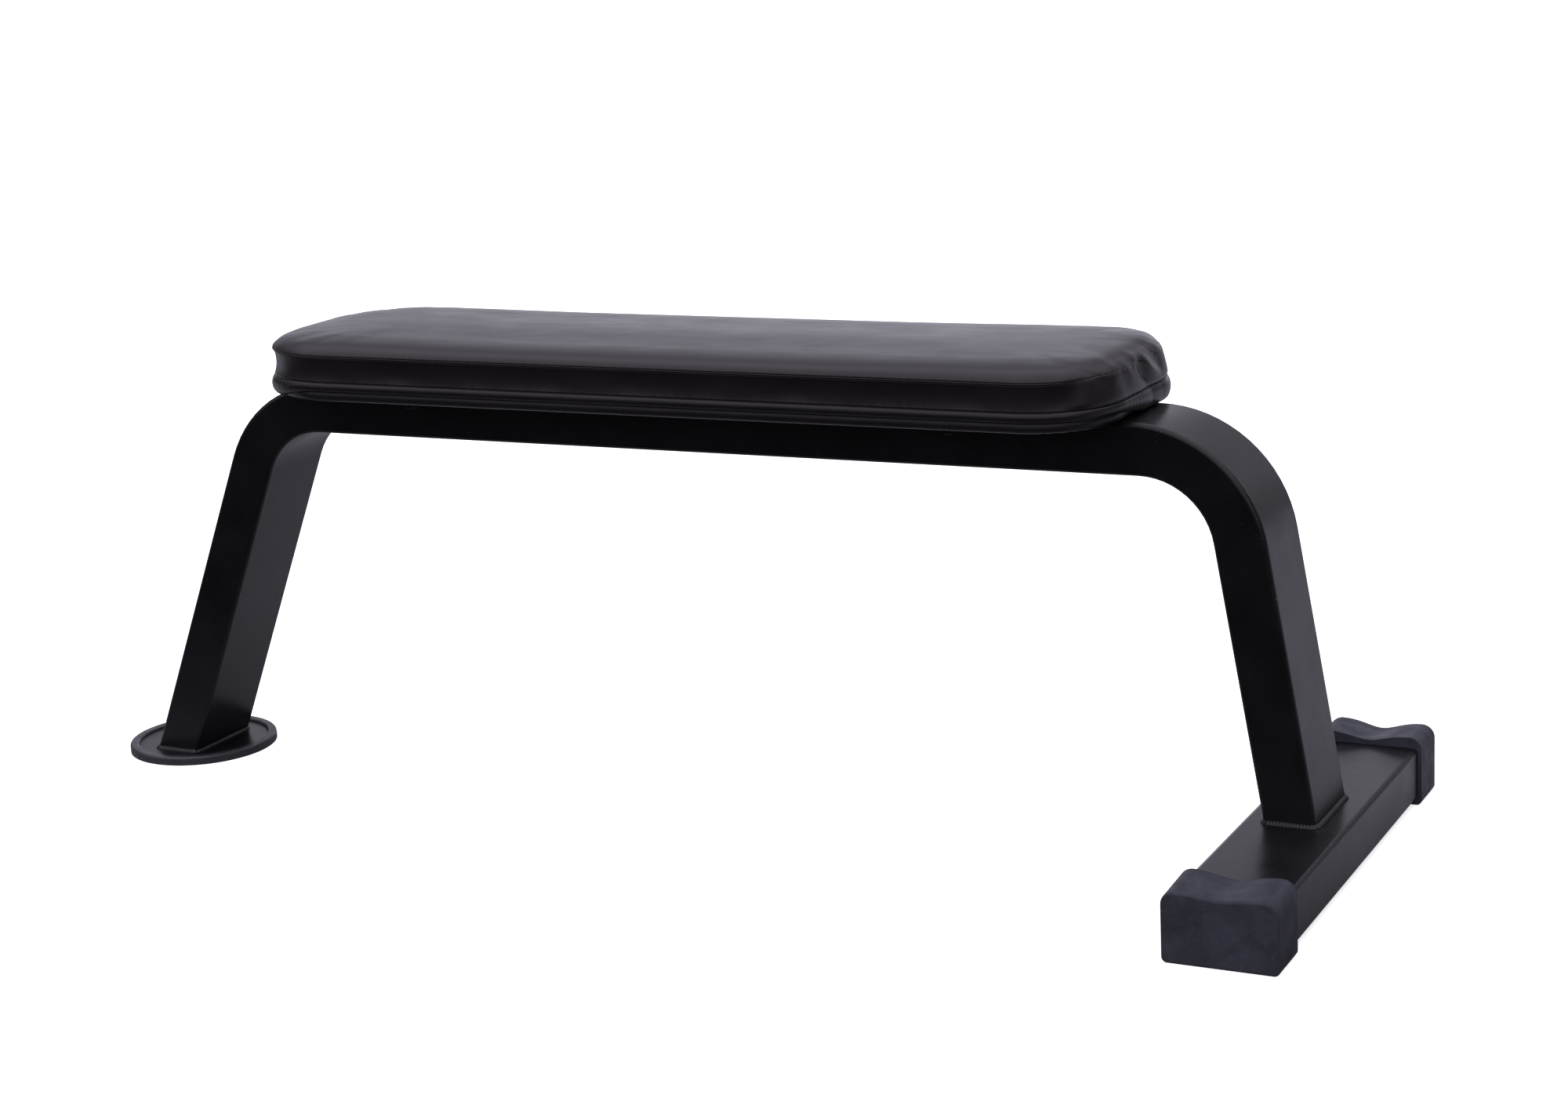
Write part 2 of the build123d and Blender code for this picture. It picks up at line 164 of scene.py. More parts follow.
def powder_coat():
    """Satin black powder coat: a fine orange peel, soft clouds of gloss, a few pale specks."""
    made = Surface("black_powder_coat", IOR=1.45, Specular_IOR_Level=0.5)
    shades = [(0.35, (0.0020, 0.0020, 0.0027)), (0.65, (0.0042, 0.0041, 0.0054))]
    body = made.ramp(made.noise(22, 4), shades)
    speck = made.ramp(made.noise(420, 2, 0.4), [(0.735, BLACK), (0.765, WHITE)])
    cloud = made.noise(16, 4, 0.6)
    made.drive(
        Base_Color=made.mix(speck, body, (0.045, 0.044, 0.048)),
        Roughness=made.spread(cloud, 0.26, 0.34),
    )
    return made.bump(made.noise(650, 2), 0.022 * MM).bump(made.noise(90, 3), 0.06 * MM).material


def rubber(name, dark, light, rough, shine):
    """Moulded black rubber: blotchy, dull, with dust in its grain."""
    made = Surface(name, IOR=1.5, Specular_IOR_Level=shine)
    body = made.ramp(made.noise(34, 5, 0.62, warp=0.6), [(0.33, dark), (0.7, light)])
    dust = made.ramp(made.noise(260, 3, 0.6), [(0.66, BLACK), (0.8, GREY)])
    made.drive(
        Base_Color=made.mix(dust, body, tuple(2.4 * channel for channel in light)),
        Roughness=made.spread(made.noise(70, 4), rough - 0.08, rough + 0.1),
    )
    return made.bump(made.cells(1500), 0.05 * MM).bump(made.noise(60, 4), 0.3 * MM).material


def vinyl():
    """Black upholstery vinyl: leather grain, soft mottling and uneven gloss."""
    made = Surface("black_vinyl", IOR=1.42, Specular_IOR_Level=0.5)
    shades = [(0.25, (0.0060, 0.0045, 0.0051)), (0.75, (0.0092, 0.0070, 0.0080))]
    made.drive(
        Base_Color=made.ramp(made.noise(14, 4, 0.55), shades),
        Roughness=made.spread(made.noise(20, 4, 0.6, scale=(1, 2.2, 1)), 0.32, 0.37),
    )
    made.bump(made.cells(820), 0.03 * MM)
    made.bump(made.noise(1900, 2), 0.008 * MM)
    return made.bump(made.noise(45, 3), 0.04 * MM).material


def black_steel():
    """Chemically blackened steel: a cloudy film with fine tool marks."""
    made = Surface("black_steel", Metallic=1.0)
    shades = [(0.3, (0.018, 0.018, 0.02)), (0.7, (0.05, 0.049, 0.05))]
    made.drive(
        Base_Color=made.ramp(made.noise(420, 4), shades),
        Roughness=made.spread(made.noise(900, 3), 0.24, 0.42),
    )
    return made.bump(made.noise(2600, 2, scale=(1, 1, 0.1)), 0.02 * MM).material


def plywood():
    """Board: birch plies at its edge and long grain on its faces."""
    made = Surface("plywood", IOR=1.45, Specular_IOR_Level=0.3)
    grain = made.noise(38, 6, 0.6, scale=(0.9, 9, 9), warp=0.5)
    face = made.ramp(grain, [(0.3, (0.36, 0.22, 0.11)), (0.7, (0.55, 0.37, 0.2))])
    wave = {"Vector": made.place(), "Scale": 120, "Distortion": 0.4}
    plies = made.node("ShaderNodeTexWave", wave, bands_direction="Z").outputs["Fac"]
    made.drive(
        Base_Color=made.mix(made.spread(plies, 0.0, 0.55), face, (0.2, 0.11, 0.05)),
        Roughness=made.spread(grain, 0.6, 0.8),
    )
    return made.bump(grain, 0.2 * MM).material


def foam():
    """Grey rebonded foam with open cells."""
    made = Surface("pad_foam", Roughness=0.95, IOR=1.4, Specular_IOR_Level=0.1)
    shades = [(0.1, (0.16, 0.17, 0.2)), (0.6, (0.34, 0.33, 0.3))]
    made.drive(Base_Color=made.ramp(made.cells(110, "F1"), shades))
    return made.bump(made.cells(900, "F1"), 0.6 * MM).material


def dust_cloth():
    """Black spun-bonded cloth, pressed with a fine lattice."""
    made = Surface("dust_cloth", Roughness=0.9, IOR=1.4, Specular_IOR_Level=0.15)
    fibre = made.noise(900, 4, 0.7, scale=(0.25, 1, 1), warp=1.2)
    shades = [(0.3, (0.007, 0.007, 0.008)), (0.72, (0.032, 0.032, 0.035))]
    made.drive(Base_Color=made.ramp(fibre, shades))
    brick = {
        "Vector": made.place(turn=(0, 0, pi / 4)), "Scale": 330,
        "Mortar Size": 0.2, "Brick Width": 0.5, "Row Height": 0.5,
    }
    lattice = made.node("ShaderNodeTexBrick", brick, offset=0).outputs["Fac"]
    return made.bump(lattice, 0.12 * MM).bump(fibre, 0.1 * MM).material


def wire():
    """Galvanised staple wire."""
    made = Surface("staple_wire", Metallic=1.0)
    shades = [(0.3, (0.4, 0.4, 0.41)), (0.7, (0.58, 0.58, 0.57))]
    made.drive(
        Base_Color=made.ramp(made.noise(600, 3), shades),
        Roughness=made.spread(made.noise(1500, 2), 0.28, 0.45),
    )
    return made.bump(made.noise(3000, 2), 0.01 * MM).material


PAINT = powder_coat()
CAP_RUBBER = rubber("cap_rubber", (0.024, 0.0245, 0.034), (0.044, 0.045, 0.06), 0.52, 0.14)
CUP_RUBBER = rubber("cup_rubber", (0.013, 0.013, 0.016), (0.026, 0.026, 0.031), 0.4, 0.6)
VINYL = vinyl()
FOAM = foam()
DUST_CLOTH = dust_cloth()

# The CAD nodes that stay, under the material that each gets
PAD_LUGS = ("pad_lug_rear_left", "pad_lug_rear_right", "pad_lug_front_left", "pad_lug_front_right")
finishes = {
    PAINT: ("frame_tube", "front_crossbeam", "rear_foot_plate", "lug_weld_beads", *PAD_LUGS),
    CAP_RUBBER: ("crossbeam_cap_left", "crossbeam_cap_right"),
    CUP_RUBBER: ("rear_foot_cup",),
    black_steel(): ("pad_bolts", "flat_washers", "spring_washers", "tee_nuts"),
    plywood(): ("pad_board",),
    wire(): ("cover_staples",),
}
for material, nodes in finishes.items():
    for node in nodes:
        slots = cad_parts[node].data.materials
        slots.clear()
        slots.append(material)


# ---------------------------------------------------------------------------------------------
# Rings and slabs that follow a rounded outline


def smooth(value, start, end):
    """0 before start, 1 after end, and an S-curve between."""
    t = np.clip((value - start) / (end - start), 0, 1)
    return t * t * (3 - 2 * t)


def bell(value, middle, width):
    """1 at the middle, falling away on both sides."""
    return np.exp(-(((value - middle) / width) ** 2))


def waver(along, *waves):
    """A sum of sine waves, each (length in metres, height, phase)."""
    return sum(
        height * np.sin(2 * pi * along / length + phase) for length, height, phase in waves
    )


def at_height(place, height):
    """Points with these (x, y) places, at this height."""
    return np.column_stack([place, np.broadcast_to(height, len(place))])


class Outline:
    """A rectangle with one corner radius at its rear and one at its front, symmetric about y = 0.
    It runs from the middle of the rear corner on -Y, round the front, and back."""

    def __init__(self, rear, front, half_width, rear_radius, front_radius):
        self.rear, self.front, self.half_width = rear, front, half_width
        self.rear_radius, self.front_radius = rear_radius, front_radius

    def points(self, across, deep):
        """Places, outward directions and the way travelled: across steps along each long side,
        deep along each end. Each side runs from the middle of one corner to the middle of the next:
        half of an arc, a straight run, and half of an arc."""
        rear, front, half_width = self.rear, self.front, self.half_width
        rear_radius, front_radius = self.rear_radius, self.front_radius
        run = front - rear - rear_radius - front_radius
        rear_run, front_run = 2 * (half_width - rear_radius), 2 * (half_width - front_radius)
        # the steps, outward heading, corner radii, straight run and that run's start, per side
        sides = [
            (across, -pi / 2, rear_radius, front_radius, run, (rear + rear_radius, -half_width)),
            (deep, 0, front_radius, front_radius, front_run, (front, front_radius - half_width)),
            (across, pi / 2, front_radius, rear_radius, run, (front - front_radius, half_width)),
            (deep, pi, rear_radius, rear_radius, rear_run, (rear, half_width - rear_radius)),
        ]
        places, outs, travels, start = [], [], [], 0.0
        for count, heading, first_radius, last_radius, straight, corner in sides:
            first, last = first_radius * pi / 4, last_radius * pi / 4
            total = first + straight + last
            step = np.arange(count) * total / count
            before = (step - first) / first_radius
            after = np.maximum(0, step - first - straight) / last_radius
            angle = heading + np.where(step < first, before, after)
            out = np.stack([np.cos(angle), np.sin(angle)], 1)
            ahead = out[:, 0] > 0
            radius = np.where(ahead, front_radius, rear_radius)
            centre_x = np.where(ahead, front - front_radius, rear + rear_radius)
            centre_y = np.sign(out[:, 1]) * (half_width - radius)
            place = np.stack([centre_x, centre_y], 1) + radius[:, None] * out
            walk = (step >= first) & (step <= first + straight)
            along = np.array([-np.sin(heading), np.cos(heading)])
            place[walk] = np.array(corner) + (step[walk] - first)[:, None] * along
            places.append(place)
            outs.append(out)
            travels.append(start + step)
            start += total
        return np.concatenate(places), np.concatenate(outs), np.concatenate(travels)

    def locate(self, x, y):
        """The inset from the outline and the outward direction, for any points."""
        side = np.where(y < 0, -1.0, 1.0)
        away = np.abs(y)
        inset = np.minimum(self.half_width - away, np.minimum(self.front - x, x - self.rear))
        on_end = inset < self.half_width - away
        out_x = np.where(on_end, np.where(self.front - x < x - self.rear, 1.0, -1.0), 0.0)
        out_y = np.where(on_end, 0.0, side)
        for radius, centre_x, way in (
            (self.front_radius, self.front - self.front_radius, 1),
            (self.rear_radius, self.rear + self.rear_radius, -1),
        ):
            dx, dy = (x - centre_x) * way, away - (self.half_width - radius)
            corner = (dx > 0) & (dy > 0)
            reach = np.where(corner, np.hypot(dx, dy), 1.0)
            inset = np.where(corner, radius - reach, inset)
            out_x = np.where(corner, way * dx / reach, out_x)
            out_y = np.where(corner, side * dy / reach, out_y)
        return inset, out_x, out_y


def new_piece(name, vertices, faces, material):
    mesh = bpy.data.meshes.new(name)
    mesh.from_pydata([tuple(v) for v in vertices], [], faces)
    mesh.validate()
    mesh.polygons.foreach_set("use_smooth", [True] * len(mesh.polygons))
    mesh.materials.append(material)
    made = bpy.data.objects.new(name, mesh)
    bpy.context.scene.collection.objects.link(made)
    return made


def get_points(piece):
    flat = np.zeros(len(piece.data.vertices) * 3)
    piece.data.vertices.foreach_get("co", flat)
    return flat.reshape(-1, 3)


def set_points(piece, points):
    piece.data.vertices.foreach_set("co", points.ravel())
    piece.data.update()


def ring_faces(columns, rows, closed):
    """Quads between rows of points, and from the last row to the first if closed."""
    faces = []
    for row in range(rows if closed else rows - 1):
        low, high = row * columns, (row + 1) % rows * columns
        for column in range(columns):
            beside = (column + 1) % columns
            faces.append((high + column, high + beside, low + beside, low + column))
    return faces


def ring(name, outline, steps, section, material):
    """A closed band round an outline. section gives (inset, height) arrays, row by row, going down
    the outside and back up the inside."""
    place, out, travel = outline.points(*steps)
    rows = [
        at_height(place - out * np.reshape(inset, (-1, 1)), height)
        for inset, height in section(place, out, travel)
    ]
    faces = ring_faces(len(place), len(rows), closed=True)
    return new_piece(name, np.concatenate(rows), faces, material)


def coons_patch(low, high, rear, front):
    """A grid of points that fills the space between four edges."""
    u = np.linspace(0, 1, len(low))[:, None, None]
    v = np.linspace(0, 1, len(rear))[None, :, None]
    return (
        (1 - v) * low[:, None] + v * high[:, None] + (1 - u) * rear[None] + u * front[None]
        - (1 - u) * (1 - v) * low[0] - u * (1 - v) * low[-1]
        - (1 - u) * v * high[0] - u * v * high[-1]
    )


def slab(name, outline, steps, rows, material, bottom=True):
    """A closed form with these (inset, height) rows from its top's edge down, and quads across its
    top and bottom."""
    across, deep = steps
    place, out, _ = outline.points(across, deep)
    columns = len(place)
    points = [at_height(place - out * inset, height) for inset, height in rows]
    faces = ring_faces(columns, len(rows), closed=False)
    count = columns * len(rows)
    for row, up in ((0, True), (len(rows) - 1, False)):
        if not up and not bottom:
            break
        edge = points[row]
        patch = coons_patch(
            low=edge[:across + 1],
            high=edge[across + deep:2 * across + deep + 1][::-1],
            rear=np.concatenate([edge[2 * across + deep:], edge[:1]])[::-1],
            front=edge[across:across + deep + 1],
        )
        # the patch's border is the row that is there already, and its inside is new
        index = np.zeros((across + 1, deep + 1), int)
        base = row * columns
        index[:, 0] = base + np.arange(across + 1)
        index[across, :] = base + across + np.arange(deep + 1)
        index[:, deep] = base + across + deep + np.arange(across + 1)[::-1]
        index[0, 1:] = base + 2 * across + deep + np.arange(deep)[::-1]
        inner = patch[1:-1, 1:-1].reshape(-1, 3)
        index[1:-1, 1:-1] = count + np.arange(len(inner)).reshape(across - 1, deep - 1)
        count += len(inner)
        points.append(inner)
        for i in range(across):
            for j in range(deep):
                quad = (index[i, j], index[i + 1, j], index[i + 1, j + 1], index[i, j + 1])
                faces.append(tuple(int(k) for k in (quad if up else quad[::-1])))
    return new_piece(name, np.concatenate(points), faces, material)


def apply_modifiers(piece):
    """Keeps the piece's evaluated mesh in place of its modifiers."""
    graph = bpy.context.evaluated_depsgraph_get()
    mesh = bpy.data.meshes.new_from_object(piece.evaluated_get(graph))
    piece.modifiers.clear()
    piece.data = mesh
    return piece


def fold(points, path, width, height):
    """How far each point rises off the surface where a fold runs along this path of (y, z)."""
    nearest = np.full(len(points), 1.0)
    for start, end in zip(path, path[1:]):
        start, run = np.array(start), np.array(end) - np.array(start)
        away = points[:, 1:] - start
        t = np.clip(away @ run / (run @ run), 0, 1)
        nearest = np.minimum(nearest, np.linalg.norm(away - t[:, None] * run, axis=1))
    return height * bell(nearest, 0, width)


# ---------------------------------------------------------------------------------------------
# Upholstery

pad_low, pad_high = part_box("cover_lower_piping")
REAR_CORNER, FRONT_CORNER = 98 * MM, 76 * MM
pad_line = Outline(pad_low.x, pad_high.x, pad_high.y, REAR_CORNER, FRONT_CORNER)
RAIL_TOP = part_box("dust_cover")[0].z
PAD_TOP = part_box("cover_top_panel")[1].z
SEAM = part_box("cover_top_welt")[1].z
VINYL_THICKNESS = 1.2 * MM

# Steps along each long side and each end
COVER_STEPS = (168, 42)
FINE_STEPS = (420, 105)
FOAM_STEPS = (84, 21)
SHEET_STEPS = (210, 52)


def end_fullness(place):
    """How far the lower edge has grown into the fat roll at the pad's two ends."""
    x, y = place[:, 0], place[:, 1]
    rear = 1 - smooth(x, pad_low.x + 22 * MM, pad_low.x + 92 * MM)
    front = smooth(y, -70 * MM, 15 * MM) * smooth(x, pad_high.x - 70 * MM, pad_high.x - 24 * MM)
    return np.maximum(rear, front)


def puckers(travel):
    """The small uneven gathers that a sewn seam draws in its cloth."""
    swell = 0.6 + 0.4 * np.sin(2 * pi * travel / 0.171 + 1.3) * np.sin(2 * pi * travel / 0.067)
    return swell * waver(travel, (7.3 * MM, 0.5, 0.4), (11.9 * MM, 0.35, 2.1), (5.1 * MM, 0.2, 4.0))


FOLDS = [
    # (y, z above the seam) along each fold, its width and height, all in millimetres
    ([(-4, 6), (9, -2), (20, -11), (38, -23), (56, -35)], 7.5, 2.3),
    ([(2, -4), (6, -17), (16, -30)], 8.5, -3.1),
    ([(-30, -4), (-24, -17), (-9, -29)], 9.0, 0.7),
    ([(-86, 4), (-80, -1), (-72, -5)], 4.5, -1.2),
    ([(-78, 5), (-70, -1), (-60, -5)], 6.0, 0.5),
    ([(34, 2), (44, -9)], 9.0, -0.8),
]


def end_gathers(points):
    """The folds at the pad's front end, where spare vinyl was pulled round under the board."""
    at_end = smooth(points[:, 0], pad_high.x - 46 * MM, pad_high.x - 20 * MM)
    rise = np.zeros(len(points))
    for path, width, height in FOLDS:
        line = [(y * MM, SEAM + z * MM) for y, z in path]
        rise += fold(points, line, width * MM, height * MM)
    return at_end * rise


def front_slope(x):
    """1 over the front end, where the cover slopes down to the roll with no seam showing."""
    return smooth(x, pad_high.x - 38 * MM, pad_high.x - 13 * MM)


CROWN = 2.2 * MM
END_PUFF = 1.2 * MM
END_PUFF_REACH = (0.16, 0.36)  # how far from the pad's middle it starts, and where it is full
END_DRAWN_IN = 4.6 * MM  # the front end's slope, at the seam
END_HOLLOW = 1.6 * MM  # the dip above that slope
SEAM_RIPPLE = 0.3 * MM
# Inset in millimetres and share of the drop to the seam, over the pad's softly rounded top edge,
# and then the hem that turns in behind the seam: inset and depth below it
TOP_EDGE = [
    (48, 0), (38, 0.03), (30, 0.075), (23, 0.135), (17, 0.21), (12.5, 0.3), (9, 0.4), (6.4, 0.52),
    (4.4, 0.65), (3.0, 0.79), (2.1, 0.91), (1.7, 1),
]
HEM = [(2.9, 1.4), (5.2, 4.5)]
CLOTH_FRAMES = 20


def inflate(piece, pinned, rise):
    """Blows the piece up as cloth with its seam held, and keeps a share that rises this far."""
    rest = get_points(piece)
    group = piece.vertex_groups.new(name="seam")
    group.add([int(i) for i in pinned], 1, "REPLACE")
    cloth = piece.modifiers.new("cloth", "CLOTH")
    cloth.settings.quality = 6
    cloth.settings.mass = 0.4
    cloth.settings.use_pressure = True
    cloth.settings.uniform_pressure_force = 4
    cloth.settings.vertex_group_mass = "seam"
    cloth.settings.tension_stiffness = 30
    cloth.settings.compression_stiffness = 30
    cloth.settings.bending_stiffness = 2
    cloth.settings.effector_weights.gravity = 0
    cloth.collision_settings.use_collision = False
    cloth.point_cache.frame_start = 1
    cloth.point_cache.frame_end = CLOTH_FRAMES
    scene = bpy.context.scene
    for number in range(1, CLOTH_FRAMES + 1):
        scene.frame_set(number)
        bpy.context.view_layer.update()
    apply_modifiers(piece)
    scene.frame_set(1)
    piece.vertex_groups.clear()
    moved = get_points(piece) - rest
    reach = np.abs(moved[:, 2]).max()
    set_points(piece, rest + moved * (rise / max(reach, rise)))


def top_panel():
    """The crowned top of the cover, from its middle over the rounded edge to the seam."""
    flat = PAD_TOP - 0.6 * CROWN
    drop = flat - SEAM
    rows = [(inset * MM, flat - share * drop) for inset, share in TOP_EDGE]
    rows += [(inset * MM, SEAM - depth * MM) for inset, depth in HEM]
    panel = slab("cover_top", pad_line, COVER_STEPS, rows, VINYL, bottom=False)
    columns = 2 * sum(COVER_STEPS)
    held = len(HEM) + 1
    inflate(panel, range((len(rows) - held) * columns, len(rows) * columns), CROWN)
    subdivide = panel.modifiers.new("subdivide", "SUBSURF")
    subdivide.levels = subdivide.render_levels = 1
    apply_modifiers(panel)

    points = get_points(panel)
    x, y = points[:, 0], points[:, 1]
    inset, out_x, out_y = pad_line.locate(x, y)
    out = np.column_stack([out_x, out_y, np.zeros(len(points))])
    travel = x * np.abs(out_y) + y * np.abs(out_x) + 0.3 * out_x
    ripple = SEAM_RIPPLE * bell(inset, 2 * MM, 6 * MM) * puckers(travel)
    from_middle = np.abs(x - (pad_low.x + pad_high.x) / 2)
    end_puff = END_PUFF * smooth(from_middle, *END_PUFF_REACH) * smooth(inset, 3 * MM, 20 * MM)
    slope = front_slope(x)
    hollow = slope * END_HOLLOW * bell(inset, 14 * MM, 9 * MM)
    drawn_in = slope * END_DRAWN_IN * bell(inset, 0, 15 * MM)
    points[:, 2] += end_puff - ripple
    points[:, 2] -= hollow
    gathers = end_gathers(points) * smooth(-inset, -24 * MM, -8 * MM)
    points += out * (ripple * (1 - slope) - drawn_in + gathers)[:, None]
    set_points(panel, points)
    wall = panel.modifiers.new("wall", "SOLIDIFY")
    wall.thickness = VINYL_THICKNESS
    wall.offset = -1
    return apply_modifiers(panel)


def welt_section(place, out, travel):
    """A thin folded seam that stands a little proud."""
    slope = front_slope(place[:, 0])
    ripple = 0.18 * MM * puckers(travel) * (1 - slope)
    middle = 3.0 * MM + 5.8 * MM * slope - end_gathers(at_height(place, SEAM))
    half_width, half_height = 1.35 * MM, 0.95 * MM
    for angle in np.linspace(0, 2 * pi, 12, endpoint=False):
        inset = middle + ripple - half_width * np.sin(angle)
        yield inset, SEAM - 1.3 * MM + half_height * np.cos(angle) - ripple


BAND_BOTTOM = RAIL_TOP + 19.2 * MM
BAND_INSET = 2.9 * MM
BAND_HOLLOW = 1.5 * MM
BAND_BELLOWS = 0.5 * MM
BAND_PUCKER = 0.35 * MM


def band_section(place, out, travel):
    """The side band, drawn in between its two seams."""
    full = end_fullness(place)
    slope = front_slope(place[:, 0])
    pucker = BAND_PUCKER * puckers(travel)
    top = SEAM - 2.0 * MM + 2.5 * MM * slope
    bellows = BAND_BELLOWS * waver(travel, (0.137, 0.5, 0.2), (0.083, 0.35, 1.7), (0.041, 0.2, 0.9))
    outside = []
    for t in np.linspace(0, 1, 15):
        height = top + t * (BAND_BOTTOM - top)
        upright = BAND_INSET + BAND_HOLLOW * np.sin(pi * t) ** 0.8 - full * 0.9 * MM * t * t
        sloped = 6.1 * MM * (1 - t) ** 1.3 + 0.9 * MM * bell(t, 0, 0.06)
        sloped += 0.4 * MM * t + 1.3 * MM * smooth(t, 0.84, 1.0)
        near_seams = bell(t, 0, 0.13) + bell(t, 1, 0.13)
        inset = upright + slope * (sloped - upright)
        inset = inset + bellows * np.sin(pi * t) + near_seams * pucker
        gathers = end_gathers(at_height(place - out * inset[:, None], height))
        outside.append((inset - gathers * (1 - 0.7 * smooth(t, 0.55, 1.0)), height))
    inside = [(inset + VINYL_THICKNESS, height) for inset, height in outside]
    return outside + inside[::-1]


BOARD_TOP = RAIL_TOP + 14.0 * MM
ROLL_LIMIT = 6.9 * MM  # below the board's top, the roll comes no further in than this


def roll_section(place, out, travel):
    """The lower edge: a slim bead along the sides that fattens into a roll at the ends."""
    full = end_fullness(place)
    sag = waver(travel, (0.19, 0.25, 0.7), (0.057, 0.2, 2.0))
    centre = RAIL_TOP + 15.3 * MM - full * 5.2 * MM
    middle = 4.3 * MM + full * 3.7 * MM - 0.3 * end_gathers(at_height(place, BOARD_TOP))
    half_width = 4.2 * MM + full * (5.1 * MM + 0.7 * MM * sag)
    half_height = 4.5 * MM + full * 5.5 * MM
    squareness = 0.85 - 0.33 * front_slope(place[:, 0])
    pinch = 0.22 * MM * puckers(travel)
    for angle in np.linspace(0, 2 * pi, 20, endpoint=False):
        outward = np.sin(angle)
        inset = middle - half_width * np.sign(outward) * np.abs(outward) ** squareness
        inset = inset + pinch * outward
        height = centre + half_height * np.cos(angle)
        beside_board = smooth(-height, -BOARD_TOP - 0.6 * MM, -BOARD_TOP)
        inset = inset - beside_board * np.maximum(0, inset - ROLL_LIMIT)
        yield inset, height + 0.3 * MM * sag * outward


# The wrapped margin: millimetres in from the pad's outline and up from the rail, and each row's
# share of a pleat. Outside it goes down the board's edge and in under it. Inside it comes back.
MARGIN_OUTSIDE = [
    (7.6, 12.9, 0), (6.7, 11.6, 0), (5.8, 9.8, 0), (5.1, 7.6, 0), (4.9, 5.6, 0), (5.4, 3.6, 0),
    (6.6, 2.0, 0.2), (8.4, 1.1, 0.6), (11, 0.85, 1), (16, 0.8, 1), (23, 0.8, 1), (30, 0.8, 0.4),
]
MARGIN_INSIDE = [
    (30, 2.0, 1), (23, 2.0, 1), (16, 2.0, 1), (11, 2.05, 1), (9.2, 2.3, 0), (8.0, 3.2, 0),
    (7.9, 6, 0), (8.0, 9.0, 0), (8.3, 12.9, 0),
]
MARGIN_TUCK_FROM = 7.2  # rows further out than this draw in under the roll at the pad's ends


def margin_section(place, out, travel):
    """Vinyl drawn over the board's edge and stapled below it, pleated round the corners."""
    full = end_fullness(place)
    corner = 4 * np.abs(out[:, 0] * out[:, 1]) ** 1.5
    pleat = corner * 0.5 * MM * waver(travel, (13 * MM, 1, 0.2), (8.7 * MM, 0.5, 1.1))
    pleat = np.maximum(pleat, 0)
    soft = 0.4 * MM * waver(travel, (0.093, 0.6, 0.3), (0.038, 0.4, 1.0))
    for inset, height, share in MARGIN_OUTSIDE:
        tuck = full * max(0.0, MARGIN_TUCK_FROM - inset) * MM
        yield inset * MM + tuck + soft * (1 - share), RAIL_TOP + height * MM + share * pleat
    for inset, height, share in MARGIN_INSIDE:
        yield inset * MM, RAIL_TOP + height * MM + share * pleat


def foam_block():
    """The foam under the cover: full, with soft edges."""
    low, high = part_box("pad_foam")
    shape = Outline(pad_low.x, pad_high.x - 9 * MM, pad_high.y, REAR_CORNER, FRONT_CORNER)
    shoulder = high.z - CROWN - 11 * MM
    rows = [
        (32 * MM - 24.6 * MM * np.sin(angle), shoulder + 8 * MM * np.cos(angle))
        for angle in np.linspace(0, pi / 2, 6)
    ]
    below = [(7.3, 16), (7.3, 8), (6.8, 3), (8.4, 0.1)]
    rows += [(inset * MM, low.z + height * MM) for inset, height in below]
    block = slab("foam_core", shape, FOAM_STEPS, rows, FOAM)
    points = get_points(block)
    inset, _, _ = shape.locate(points[:, 0], points[:, 1])
    crown = 1.6 * MM * smooth(inset, 10 * MM, 90 * MM)
    points[:, 2] += np.where(points[:, 2] > high.z - 9 * MM, crown, 0)
    set_points(block, points)
    return block


SHEET_SLACK = 1.4 * MM


def dust_sheet():
    """Cloth stapled over the board's underside, a little slack between the rail and its staples."""
    low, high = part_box("dust_cover")
    inset = pad_high.y - high.y
    rows = [(inset + 0.3 * MM, high.z), (inset, (low.z + high.z) / 2), (inset + 0.3 * MM, low.z)]
    cloth = slab("dust_sheet", pad_line, SHEET_STEPS, rows, DUST_CLOTH)
    points = get_points(cloth)
    x, away = points[:, 0], np.abs(points[:, 1])
    slack = smooth(away, 34 * MM, 50 * MM) * smooth(-away, -98 * MM, -84 * MM)
    slack *= smooth(x, pad_low.x + 40 * MM, pad_low.x + 80 * MM)
    slack *= smooth(-x, -(pad_high.x - 40 * MM), -(pad_high.x - 80 * MM))
    for lug in ("pad_lug_rear_left", "pad_lug_front_left"):
        lug_low, lug_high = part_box(lug)
        beside = np.abs(x - (lug_low.x + lug_high.x) / 2) - (lug_high.x - lug_low.x) / 2
        slack *= smooth(beside, 4 * MM, 26 * MM)
    sway = 0.65 + waver(x + 0.4 * points[:, 1], (0.071, 0.2, 0.4), (0.043, 0.15, 2.0))
    points[:, 2] -= SHEET_SLACK * slack * sway
    set_points(cloth, points)
    return cloth


def stand_for(piece, node):
    """The piece rides on the frame and takes this CAD node's place."""
    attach(piece, "root")
    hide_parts(node)
    return piece


cover_top = stand_for(top_panel(), "cover_top_panel")
for name, node, section in (
    ("cover_seam", "cover_top_welt", welt_section),
    ("cover_band", "cover_side_band", band_section),
    ("cover_roll", "cover_lower_piping", roll_section),
    ("cover_edge", "cover_margin", margin_section),
):
    piece = ring(name, pad_line, FINE_STEPS, section, VINYL)
    stand_for(piece, node)
foam_core = stand_for(foam_block(), "pad_foam")
sheet = stand_for(dust_sheet(), "dust_cover")


# ---------------------------------------------------------------------------------------------
# Welds

WELD_STEPS = (150, 300)
WELD_CORNER = 6 * MM
WELD_WAVE = 2.9 * MM  # from one ripple of the bead to the next
WELD_ROOT = 1.2 * MM  # how far the bead reaches in under the tube


